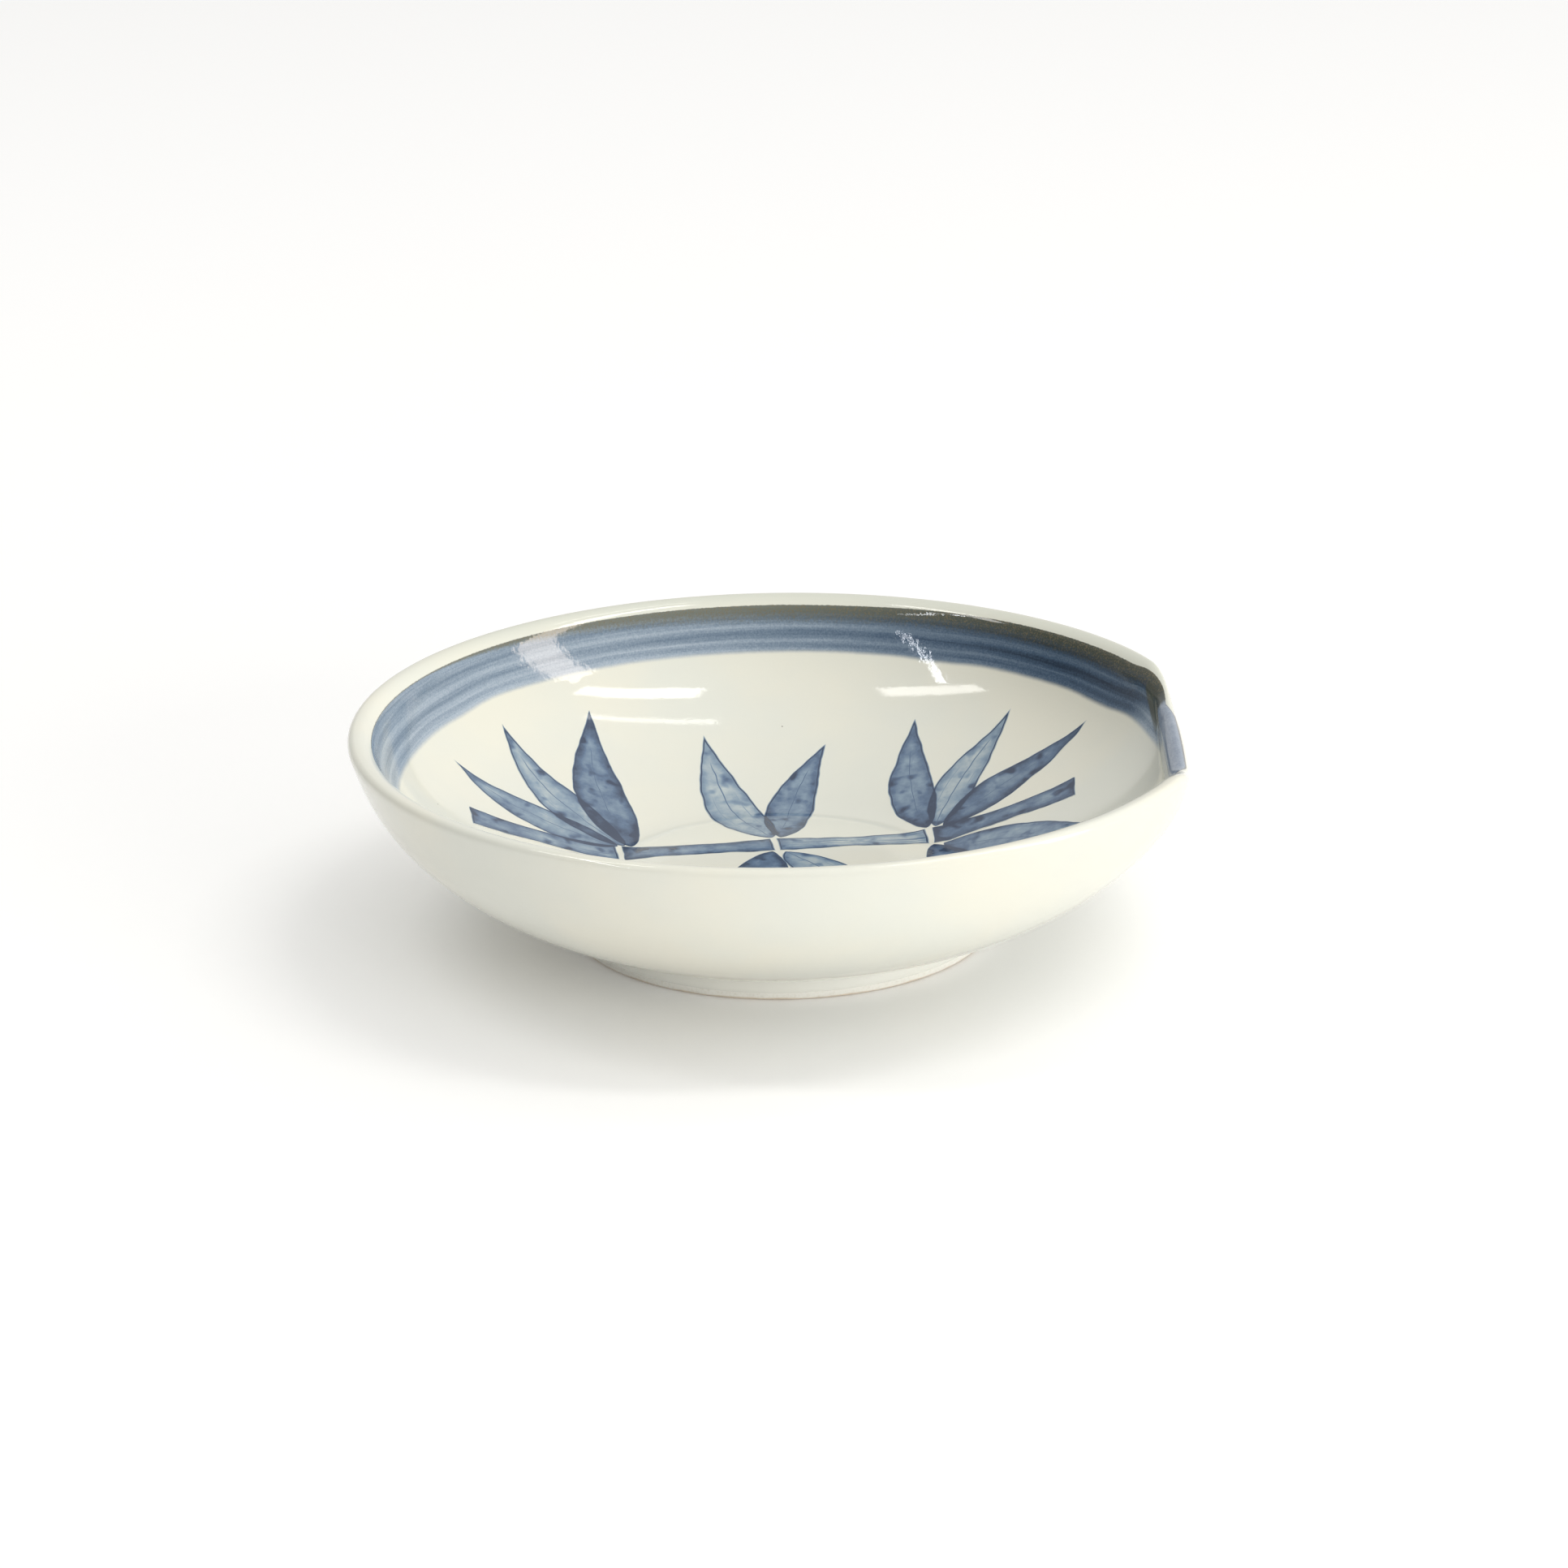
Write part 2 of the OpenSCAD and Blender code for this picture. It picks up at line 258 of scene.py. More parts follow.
def lip_poke(turn):
    return CORNER_OUT * math.exp(-((turn / CORNER_TURN + POKE_SHARE) / POKE_SPREAD_SHARE) ** 2)


def lip_full(turn):
    past_full = abs(turn) / CORNER_TURN - DIP_FULL_SHARE
    return 1 - smooth(past_full / (DIP_START_SHARE - DIP_FULL_SHARE))


def lip_climb(z):
    return max(0, (z - LIP_START_H) / (RIM_H - LIP_START_H)) ** 2


def crease_cut(x):
    """How far past the crease a place lies, turning softly from none at the crease itself."""
    if abs(x) < CREASE_W:
        return (x + CREASE_W) ** 2 / (4 * CREASE_W)
    return max(0, x)


def lip_face(r, turn):
    """How far a radius inside the lip is drawn back to the upright plane behind its edge."""
    if abs(turn) > LIP_REACH_TURN:
        return 0
    return crease_cut(min(r, IN_END[0]) - LIP_FACE_X / cosine(turn))


def place(row, depth, turn):
    """A point under a row of the outline, turned to an angle and bent by the lip."""
    (r, z), normal, side = row
    face = lip_face(r, turn)
    r -= depth * normal[0]
    z -= depth * normal[1]
    side += depth * normal[0] / RIM_W
    h = lip_climb(z)
    bent = r + h * (lip_poke(turn) - (1 - side) * lip_cut(turn, side)) - side * face
    return Vector((bent * cosine(turn), bent * sine(turn), z - LIP_DIP * lip_full(turn) * h))


def from_lip(turn):
    return turn - 360 if turn > 180 else turn


TURNS = [from_lip(360 * i / TURN_STEPS - TURN_CROWD * sine(360 * i / TURN_STEPS))
         for i in range(TURN_STEPS)]


# Meshes

SHARP_TURN = math.radians(45)


def ring_quads(row, other, start=0):
    """Faces between two rings of points."""
    faces = []
    for i in range(TURN_STEPS):
        j = (i + 1) % TURN_STEPS
        a, b = start + row * TURN_STEPS, start + other * TURN_STEPS
        faces.append((a + i, b + i, b + j, a + j))
    return faces


def disc(row, middle):
    a = row * TURN_STEPS
    return [(a + i, middle, a + (i + 1) % TURN_STEPS) for i in range(TURN_STEPS)]


def make_object(name, points, faces, attributes=()):
    """A smooth closed mesh, given in millimetres, with named numbers on its points."""
    mesh = bpy.data.meshes.new(name)
    mesh.from_pydata([Vector(p) * MM for p in points], [], faces)
    for key, values in dict(attributes).items():
        layer = mesh.attributes.new(key, "FLOAT", "POINT")
        layer.data.foreach_set("value", values)
    shape = bmesh.new()
    shape.from_mesh(mesh)
    bmesh.ops.recalc_face_normals(shape, faces=shape.faces)
    shape.to_mesh(mesh)
    shape.free()
    mesh.polygons.foreach_set("use_smooth", [True] * len(mesh.polygons))
    mesh.set_sharp_from_angle(angle=SHARP_TURN)
    mesh.update()
    obj = bpy.data.objects.new(name, mesh)
    bpy.context.scene.collection.objects.link(obj)
    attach(obj, "root")
    return obj


def skin_numbers(rows, runs, sheets):
    """The run and crease numbers for the points of a skin laid down more than once."""
    run = [value for value in runs for _ in TURNS] * sheets
    reach = [min(row[0][0], IN_END[0]) for row in rows]
    crease = [r * cosine(turn) - LIP_FACE_X for r in reach for turn in TURNS] * sheets
    return {"run": run, "crease": crease}


def closed_numbers(rows, runs, sheets, ends):
    """The same with the middle points that close a skin's ends."""
    numbers = skin_numbers(rows, runs, sheets)
    numbers["run"] += [runs[-1]] * ends
    numbers["crease"] += [-LIP_FACE_X] * ends
    return numbers


def two_sheets(rows):
    """The outer and inner sheet of a coat, as points and as faces joined at the first row."""
    count = len(rows)
    points = [place(row, depth, turn) for depth in (0, GLAZE_T) for row in rows for turn in TURNS]
    faces = []
    for start in (0, count * TURN_STEPS):
        for k in range(count - 1):
            faces += ring_quads(k, k + 1, start)
    faces += ring_quads(0, count)
    return points, faces


def coat(name, rows, runs):
    """A coat of glaze over a run of rows, open at both ends."""
    count = len(rows)
    points, faces = two_sheets(rows)
    faces += ring_quads(count - 1, 2 * count - 1)
    return make_object(name, points, faces, skin_numbers(rows, runs, 2))


def floor_coat(name, rows, runs):
    """The inside coat, which closes over the floor."""
    count = len(rows)
    points, faces = two_sheets(rows)
    middle = len(points)
    points += [(0, 0, FLOOR_Z), (0, 0, FLOOR_Z - GLAZE_T)]
    faces += disc(count - 1, middle)
    faces += disc(2 * count - 1, middle + 1)
    return make_object(name, points, faces, closed_numbers(rows, runs, 2, 2))


def solid_body(name, rows, runs):
    """The porcelain under the coats, closed over the foot plane and the floor."""
    count = len(rows)
    points = [place(row, GLAZE_T, turn) for row in rows for turn in TURNS]
    middle = len(points)
    points += [(0, 0, FOOT_H), (0, 0, FLOOR_Z - GLAZE_T)]
    faces = []
    for k in range(count - 1):
        faces += ring_quads(k, k + 1)
    faces += disc(0, middle)
    faces += disc(count - 1, middle + 1)
    return make_object(name, points, faces, closed_numbers(rows, runs, 1, 2))


def turned(outline):
    """Points of an outline of radius and height, turned about the axis."""
    return [(r * cosine(turn), r * sine(turn), z) for r, z in outline for turn in TURNS]


def lathe(name, outline):
    """A closed outline of radius and height turned about the axis."""
    count = len(outline)
    faces = []
    for k in range(count):
        faces += ring_quads(k, (k + 1) % count)
    return make_object(name, turned(outline), faces)


def arc(centre, r, start, end, count):
    return [tuple(polar(centre, r, start + (end - start) * i / count)) for i in range(count + 1)]


# Foot

FLARE_STEPS = 14
FOOT_ARC_STEPS = 8
GLAZE_ROLL_H = 0.7
WELL_STEPS = 10
# Radius of the turn inside the foot, in thicknesses of the coat
WELL_TURN_SHARE = 4


def foot_r(z):
    return FOOT_R + FOOT_FLARE * (z / FOOT_H) ** 2


def foot_outline():
    inner = FOOT_R - FOOT_W
    edge = FOOT_EDGE_R
    points = [(inner, FOOT_H)]
    points += arc((inner + edge, edge), edge, 180, 270, FOOT_ARC_STEPS)
    points += arc((FOOT_R - edge, edge), edge, 270, 360, FOOT_ARC_STEPS)
    heights = [edge + (FOOT_H - edge) * t for t in steps(FLARE_STEPS)]
    return points + [(foot_r(z), z) for z in heights]


def glaze_roll(z):
    """Thickness of the coat at a height, rounded off at its wiped edge."""
    return GLAZE_T * math.sqrt(1 - max(0, 1 - (z - FOOT_WIPE_H) / GLAZE_ROLL_H) ** 2)


def foot_glaze_outline():
    shares = [0] + steps(2 * FLARE_STEPS)
    heights = [FOOT_WIPE_H + (FOOT_H - FOOT_WIPE_H) * t ** 2 for t in shares]
    inside = [(foot_r(z), z) for z in heights]
    outside = [(foot_r(z) + glaze_roll(z), z) for z in heights[1:]]
    return inside + outside[::-1]


def foot_well(name):
    """The coat under the dish within the foot, with a soft turn where the two meet."""
    inner = FOOT_R - FOOT_W
    turn_r = WELL_TURN_SHARE * GLAZE_T
    corner = (inner - GLAZE_T - turn_r, FOOT_H - GLAZE_T - turn_r)
    outline = [(inner, FOOT_WIPE_H), (inner - GLAZE_T, FOOT_WIPE_H + GLAZE_T)]
    outline += arc(corner, turn_r, 0, 90, FOOT_ARC_STEPS)
    flat = [(corner[0] * (1 - t), FOOT_H - GLAZE_T) for t in steps(WELL_STEPS)[:-1]]
    top = [(r, FOOT_H) for r, z in flat[::-1]]
    outline += flat + top + [(inner, FOOT_H)]
    count = len(outline)
    points = turned(outline)
    # The two rows nearest the axis, under and over the coat, are each closed by a disc
    low_end = count - len(top) - 2
    middle = len(points)
    points += [(0, 0, FOOT_H - GLAZE_T), (0, 0, FOOT_H)]
    faces = []
    for k in range(count):
        if k != low_end:
            faces += ring_quads(k, (k + 1) % count)
    faces += disc(low_end, middle)
    faces += disc(low_end + 1, middle + 1)
    return make_object(name, points, faces)


# Brushwork

LEAF_SHARES = [
    (-0.245, 0.115, 165, 0.78), (-0.235, 0.12, 134, 0.85), (-0.225, 0.12, 104, 0.95),
    (-0.015, 0.155, 112, 0.9), (-0.002, 0.155, 76, 0.82), (0.215, 0.178, 93, 0.8),
    (0.228, 0.178, 61, 0.76), (0.24, 0.172, 28, 0.76), (-0.245, 0.058, -152, 0.85),
    (-0.23, 0.058, -112, 1), (-0.015, 0.095, -108, 1), (0.005, 0.095, -62, 0.9),
    (0.225, 0.12, -78, 0.85), (0.24, 0.12, -36, 0.95)]
STALK_SHARES = [(-0.46, 0.05), (-0.24, 0.09), (-0.01, 0.125), (0.22, 0.15), (0.44, 0.155)]
BULGE_SHARE = 0.7
WAIST_SHARE = 0.24
STROKE_LONG_STEPS = 40
STROKE_CROSS_STEPS = 10
# Points of a stroke's tip that lie closer than this, in metres, become one
MERGE_GAP = 0.000002


def leaf_strokes():
    """Each leaf as place, direction in degrees, length, width and bow."""
    return [(x * SPRIG_L, y * SPRIG_L, turn, LEAF_L * size, LEAF_W * size, LEAF_BOW * size)
            for x, y, turn, size in LEAF_SHARES]


def stalk_strokes():
    """Each length of the stalk in the same form, between its two joints."""
    strokes = []
    for start, end in zip(STALK_SHARES, STALK_SHARES[1:]):
        a, run = Vector(start) * SPRIG_L, (Vector(end) - Vector(start)) * SPRIG_L
        turn = math.degrees(math.atan2(run.y, run.x))
        first = a + run.normalized() * JOINT_GAP / 2
        strokes.append((first.x, first.y, turn, run.length - JOINT_GAP, STALK_W, 0))
    return strokes


LEAVES = leaf_strokes()
STALKS = stalk_strokes()


def inside_row(s):
    """A row of the inside at a place from 0 at the band to 1 at the middle of the floor."""
    at = s * (len(INNER_SKIN) - 1)
    k = min(int(at), len(INNER_SKIN) - 2)
    t = at - k
    a, b = INNER_SKIN[k], INNER_SKIN[k + 1]
    return a[0].lerp(b[0], t), a[1].lerp(b[1], t), 1


def on_floor(x, y, depth):
    """The point of the inside over a place in plan, taken down by a depth."""
    r = math.hypot(x, y)
    turn = math.degrees(math.atan2(y, x))
    low, high = 0.0, 1.0
    while high - low > 1e-5:
        mid = (low + high) / 2
        if place(inside_row(mid), 0, turn).xy.length > r:
            low = mid
        else:
            high = mid
    return place(inside_row(low), depth, turn)


def leaf_half(t):
    return max(0, sine(180 * t ** BULGE_SHARE)) / 2


def stalk_half(t):
    return (1 - WAIST_SHARE * sine(180 * t)) / 2


def stroke_points(stroke, half_at, depth):
    """A grid of points over one brush stroke, from its start to its end."""
    x0, y0, turn, length, width, bow = stroke
    points = []
    for i in range(STROKE_LONG_STEPS + 1):
        t = i / STROKE_LONG_STEPS
        half = width * half_at(t)
        for j in range(STROKE_CROSS_STEPS + 1):
            x = length * t
            y = bow * sine(180 * t) + half * (2 * j / STROKE_CROSS_STEPS - 1)
            u = x0 + x * cosine(turn) - y * sine(turn)
            v = y0 + x * sine(turn) + y * cosine(turn)
            points.append(on_floor(u, v, depth))
    return points


def stroke_faces(start, under):
    """Faces of one stroke, whose upper and lower points begin at two places in the list."""
    wide = STROKE_CROSS_STEPS + 1
    faces = []
    for end in (0, STROKE_LONG_STEPS * wide):
        for a in range(end, end + STROKE_CROSS_STEPS):
            faces.append((start + a, start + a + 1, under + a + 1, under + a))
    for i in range(STROKE_LONG_STEPS):
        for j in range(STROKE_CROSS_STEPS):
            a = i * wide + j
            quad = (a, a + 1, a + 1 + wide, a + wide)
            faces.append(tuple(start + corner for corner in quad))
            faces.append(tuple(under + corner for corner in quad[::-1]))
        for j in (0, STROKE_CROSS_STEPS):
            a, b = i * wide + j, (i + 1) * wide + j
            faces.append((start + a, start + b, under + b, under + a))
    return faces


def brushwork(name):
    """All the strokes as thin solids that follow the inside of the bowl, each a little higher."""
    points, faces = [], []
    leaves = [(stroke, leaf_half) for stroke in LEAVES]
    stalks = [(stroke, stalk_half) for stroke in STALKS]
    for k, (stroke, half_at) in enumerate(leaves + stalks):
        start = len(points)
        top = stroke_points(stroke, half_at, -PAINT_LIFT - k * LAYER_LIFT)
        points += top + stroke_points(stroke, half_at, PAINT_T)
        faces += stroke_faces(start, start + len(top))
    obj = make_object(name, points, faces)
    shape = bmesh.new()
    shape.from_mesh(obj.data)
    bmesh.ops.remove_doubles(shape, verts=shape.verts, dist=MERGE_GAP)
    bmesh.ops.recalc_face_normals(shape, faces=shape.faces)
    shape.to_mesh(obj.data)
    shape.free()
    obj.data.set_sharp_from_angle(angle=SHARP_TURN)
    return obj


# Node trees

class Tree:
    """Builds one node tree. A value may be a number, a colour, a vector or a socket."""

    def __init__(self, tree):
        self.tree = tree

    def feed(self, socket, value):
        if isinstance(value, bpy.types.NodeSocket):
            self.tree.links.new(value, socket)
        else:
            socket.default_value = value

    def add(self, kind, inputs, out=0, **settings):
        made = self.tree.nodes.new(kind)
        for key, value in settings.items():
            setattr(made, key, value)
        for key, value in inputs.items():
            self.feed(made.inputs[key], value)
        return made.outputs[out]

    def math(self, operation, a, b=0.0):
        return self.add("ShaderNodeMath", {0: a, 1: b}, operation=operation)

    def plus(self, a, b):
        return self.math("ADD", a, b)

    def minus(self, a, b):
        return self.math("SUBTRACT", a, b)

    def times(self, a, b):
        return self.math("MULTIPLY", a, b)

    def vector(self, operation, a, b=(0, 0, 0)):
        return self.add("ShaderNodeVectorMath", {0: a, 1: b}, operation=operation)

    def scaled(self, a, scale):
        return self.add("ShaderNodeVectorMath", {0: a, 3: scale}, operation="SCALE")

    def split(self, vector):
        made = self.tree.nodes.new("ShaderNodeSeparateXYZ")
        self.feed(made.inputs[0], vector)
        return made.outputs[0], made.outputs[1], made.outputs[2]

    def join(self, x, y, z):
        return self.add("ShaderNodeCombineXYZ", {0: x, 1: y, 2: z})

    def step(self, value, low, high, start=0.0, end=1.0):
        """A smooth rise from start to end as the value goes from low to high."""
        return self.add("ShaderNodeMapRange", {0: value, 1: low, 2: high, 3: start, 4: end},
                        interpolation_type="SMOOTHSTEP")

    def line(self, value, middle, spread):
        """1 at the middle, falling to 0 at the spread on either side."""
        return self.step(self.math("ABSOLUTE", self.minus(value, middle)), 0.0, spread, 1.0, 0.0)

    def noise(self, vector, scale, detail=2.0, rough=0.5):
        return self.add("ShaderNodeTexNoise",
                        {"Vector": vector, "Scale": scale, "Detail": detail, "Roughness": rough})

    def cells(self, vector, scale):
        """Distance to scattered points, and a random number for each."""
        made = self.tree.nodes.new("ShaderNodeTexVoronoi")
        self.feed(made.inputs["Vector"], vector)
        made.inputs["Scale"].default_value = scale
        return made.outputs["Distance"], made.outputs["Color"]

    def mix(self, share, a, b):
        return self.add("ShaderNodeMix", {0: share, 6: a, 7: b}, out=2, data_type="RGBA")

    def mix_number(self, share, a, b):
        return self.add("ShaderNodeMix", {0: share, 2: a, 3: b}, data_type="FLOAT")

    def ramp(self, value, stops):
        """Colours at places from 0 to 1."""
        made = self.tree.nodes.new("ShaderNodeValToRGB")
        self.feed(made.inputs[0], value)
        elements = made.color_ramp.elements
        elements[0].position, elements[0].color = stops[0]
        elements[1].position, elements[1].color = stops[-1]
        for at, colour in stops[1:-1]:
            elements.new(at).color = colour
        return made.outputs[0]

    def number(self, name):
        """A named number that the mesh carries on its points."""
        return self.add("ShaderNodeAttribute", {}, out="Fac", attribute_name=name)

    def millimetres(self):
        place_now = self.add("ShaderNodeTexCoord", {}, out="Object")
        return self.scaled(place_now, 1 / MM)

    def bump(self, height, depth_mm, under=None):
        inputs = {"Height": height, "Distance": depth_mm * MM, "Strength": 1.0}
        if under is not None:
            inputs["Normal"] = under
        return self.add("ShaderNodeBump", inputs)


def srgb(r, g, b):
    """A colour written as on a screen, in linear light."""
    def channel(v):
        v = v / 255
        return v / 12.92 if v <= 0.04045 else ((v + 0.055) / 1.055) ** 2.4
    return channel(r), channel(g), channel(b), 1.0


def material(name, paint):
    """A material whose colour, roughness and normal come from the paint function."""
    made = bpy.data.materials.new(name)
    made.use_nodes = True
    tree = Tree(made.node_tree)
    shader = made.node_tree.nodes["Principled BSDF"]
    for key, value in paint(tree).items():
        tree.feed(shader.inputs[key], value)
    return made


# Glaze

WARM_WHITE = srgb(233, 231, 217)
COOL_WHITE = srgb(227, 228, 218)
# Painted shade: a greyer white laid on the rim, strongest at the back of the dish
RIM_SHADE_WHITE = srgb(206, 209, 198)
# Painted light: a brighter white on the foot coats, which lie in the shade under the bowl
FOOT_LIT_WHITE = srgb(250, 250, 244)
FOOT_LIT_SHARE = 0.75
DRIFT_SCALE = 0.05
# Specks: how far apart they may lie, how many are left out, their sizes and their strength
SPECK_RGB = srgb(120, 112, 98)
SPECK_GAP = 5.5
SPECKS_LEFT_OUT = 0.62
SPECK_LEAST, SPECK_MORE = 0.012, 0.022
SPECK_SHARE = 0.75
GLAZE_GLOSS = 0.05
GLAZE_IOR = 1.5
# Bumps of the coat: slow waves, and the fine peel of the bowl and of the foot
WAVE_SCALE = 0.11
WAVE_DEPTH = 0.05
PEEL_SCALE = 2.0
PEEL_DEPTH = 0.006
FOOT_PEEL_DEPTH = 0.002


def white_glaze(t, at):
    """Warm white that drifts a little cooler where the glaze lies thick, with rare tiny specks."""
    drift = t.step(t.noise(at, DRIFT_SCALE, 3.0), 0.35, 0.68)
    colour = t.mix(drift, WARM_WHITE, COOL_WHITE)
    gap, chance = t.cells(at, 1 / SPECK_GAP)
    kept = t.math("GREATER_THAN", t.split(chance)[0], SPECKS_LEFT_OUT)
    size = t.plus(SPECK_LEAST, t.times(t.split(chance)[1], SPECK_MORE))
    speck = t.times(t.step(gap, t.times(size, 0.5), size, 1.0, 0.0), kept)
    return t.mix(t.times(speck, SPECK_SHARE), colour, SPECK_RGB)


def glaze_normal(t, at, peel=PEEL_DEPTH, scale=PEEL_SCALE):
    """Slow waves in the coat, and a fine peel that frays the edges of reflections."""
    waves = t.bump(t.noise(at, WAVE_SCALE, 1.0), WAVE_DEPTH)
    return t.bump(t.noise(at, scale, 3.0), peel, waves)


def coat_look(colour, normal):
    return {"Base Color": colour, "Normal": normal, "Roughness": GLAZE_GLOSS, "IOR": GLAZE_IOR}


def clear_glaze(t):
    """The coats on the foot, painted a brighter white as light in the shade under the bowl."""
    at = t.millimetres()
    colour = t.mix(FOOT_LIT_SHARE, white_glaze(t, at), FOOT_LIT_WHITE)
    return coat_look(colour, t.bump(t.noise(at, PEEL_SCALE), FOOT_PEEL_DEPTH))


# Cobalt band

BAND_LENGTH = BAND_RUN[-1]
OLIVE_RGB = srgb(76, 79, 66)
PALE_OLIVE_RGB = srgb(112, 115, 103)
BROWN_RGB = srgb(122, 112, 88)
# A lilac grey laid on the lip's facet as a painted reflection of the window
LILAC_REFLECTION_RGB = srgb(150, 152, 168)
# Colours by how much cobalt lies in the glaze, from a trace to the thickest
COBALT_STOPS = [
    (0.0, srgb(214, 219, 221)), (0.36, srgb(182, 194, 206)), (0.53, srgb(148, 163, 179)),
    (0.66, srgb(116, 134, 153)), (0.86, srgb(73, 94, 118)), (1.0, srgb(48, 63, 82))]
BAND_PEEL_SCALE = 1.3
BAND_PEEL_DEPTH = 0.02

# The cobalt's upper edge: how far it rises on the open rim, toward which turn, and its run on
# the lip
EDGE_RISE = 0.4
EDGE_RISE_TURN = 42
LIP_EDGE_RUN = -3.2
# Turns from the lip's middle at which the cobalt starts up over the rim, and has risen fully,
# or on the far side a part of the way
LAP_START, LAP_FULL = 17.5, 10.5
FAR_LAP_START, FAR_LAP_FULL, FAR_LAP_MOST = 28, 17, 0.45
# The band's low edge: a turn, how squarely a place faces it, as two cosines, and the edge's
# shift in millimetres at each of the two
LOW_EDGE_SHIFTS = [
    (106, 0.7, 0.83, 0.35, -0.25), (10, 0.9, 0.99, 0.0, -1.2), (180, 0.9, 1.0, 0.0, 0.4),
    (48, cosine(20), cosine(6), 0.0, -0.8)]

# Wander of the brush, as sizes of noise and shares of the band's height
WOBBLE_SCALE, FINE_SCALE, RAGGED_SCALE = 1.3, 1.1, 3.2
RING_WOBBLE, RING_FINE = 0.1, 0.03
LOW_WOBBLE, LOW_FINE = 0.07, 0.015

# How much cobalt lies at the far left and at the lip
LEAST_COBALT, MOST_COBALT = 0.56, 0.92
# Brushed rings: place across the band, half width, and how much they add or take
RINGS = [
    (0.07, 0.07, 0.04), (0.26, 0.08, 0.07), (0.43, 0.09, -0.1), (0.57, 0.08, 0.06),
    (0.72, 0.06, -0.08), (0.82, 0.05, 0.05), (0.9, 0.04, -0.03)]
# Streaks and finer hairs of the brush: how closely they lie round the dish and across the
# band, and how much they change the cobalt
STREAKS_ROUND, STREAKS_ACROSS, STREAK_SHARE = 2.4, 11.0, 0.22
HAIRS_ROUND, HAIRS_ACROSS, HAIR_SHARE, MORE_HAIR_LEFT = 5.0, 46.0, 0.15, 0.1
# What is taken off low on the band, and more of it from one turn to another near the lip
LOW_PART_LESS = -0.09
BY_LIP_START, BY_LIP_FULL, BY_LIP_LESS = 25, 17, -0.32
# How much cobalt lies past the crease, paler for a painted reflection, and how much its streaks
# change it
PAST_CREASE_COBALT_AND_SHEEN = 0.58
PAST_CREASE_STREAK_SHARE = 0.6
# Strength of the lilac painted reflection on the lip's facet
LILAC_REFLECTION_SHARE = 0.3
GRAIN_SCALE, GRAIN_SHARE = 4.5, 0.22

# The dark edge: its width at the far left and at the right, how far it frays, and its strength
OLIVE_W_LEFT, OLIVE_W_RIGHT = 0.14, 2.1
OLIVE_FRAY = 0.7
OLIVE_SHARE = 0.92
WEDGE_SHARE = 0.85
FLECK_SCALE, FLECK_SHARE = 5.0, 0.7
# A fine brown line at the upper edge on the lip
RIM_LINE_RUN, RIM_LINE_W, RIM_LINE_SHARE = 0.12, 0.3, 0.6


def facing(t, around, turn, low, high, start=0.0, end=1.0):
    """A smooth change from start to end as the cosine to a turn goes from low to high."""
    x, y, z = t.split(around)
    near = t.plus(t.times(x, cosine(turn)), t.times(y, sine(turn)))
    return t.step(near, low, high, start, end)


def band_spot(t, at):
    """What the band's colours need to know of a place: where it lies, and the brush's wander."""
    spot = SimpleNamespace(at=at, crease=t.number("crease"))
    x, y, spot.z = t.split(at)
    spot.around = t.vector("NORMALIZE", t.join(x, y, 0.0))
    spot.ax, spot.ay, az = t.split(spot.around)
    spot.wobble = t.minus(t.noise(t.scaled(spot.around, WOBBLE_SCALE), 1.0, 2.0), 0.5)
    spot.fine = t.minus(t.noise(at, FINE_SCALE, 3.0), 0.5)
    spot.ragged = t.minus(t.noise(at, RAGGED_SCALE, 2.0), 0.5)
    far_lap = t.step(spot.ax, cosine(FAR_LAP_START), cosine(FAR_LAP_FULL), 0.0, FAR_LAP_MOST)
    far_lap = t.times(far_lap, t.step(spot.ay, 0.0, 0.12))
    near_lap = t.step(spot.ax, cosine(LAP_START), cosine(LAP_FULL))
    spot.lap = t.math("MAXIMUM", near_lap, far_lap)
    rise = facing(t, spot.around, EDGE_RISE_TURN, 0.75, 1.0, 0.0, -EDGE_RISE)
    edge = t.mix_number(spot.lap, rise, LIP_EDGE_RUN)
    low_edge = BAND_LENGTH
    for shift in LOW_EDGE_SHIFTS:
        low_edge = t.plus(low_edge, facing(t, spot.around, *shift))
    # Millimetres below the upper edge, and share of the way down the band
    spot.down = t.minus(t.number("run"), edge)
    spot.v = t.math("DIVIDE", spot.down, t.minus(low_edge, edge))
    spot.past = t.step(t.plus(spot.crease, t.times(spot.fine, 0.25)), -0.1, 0.3)
    return spot


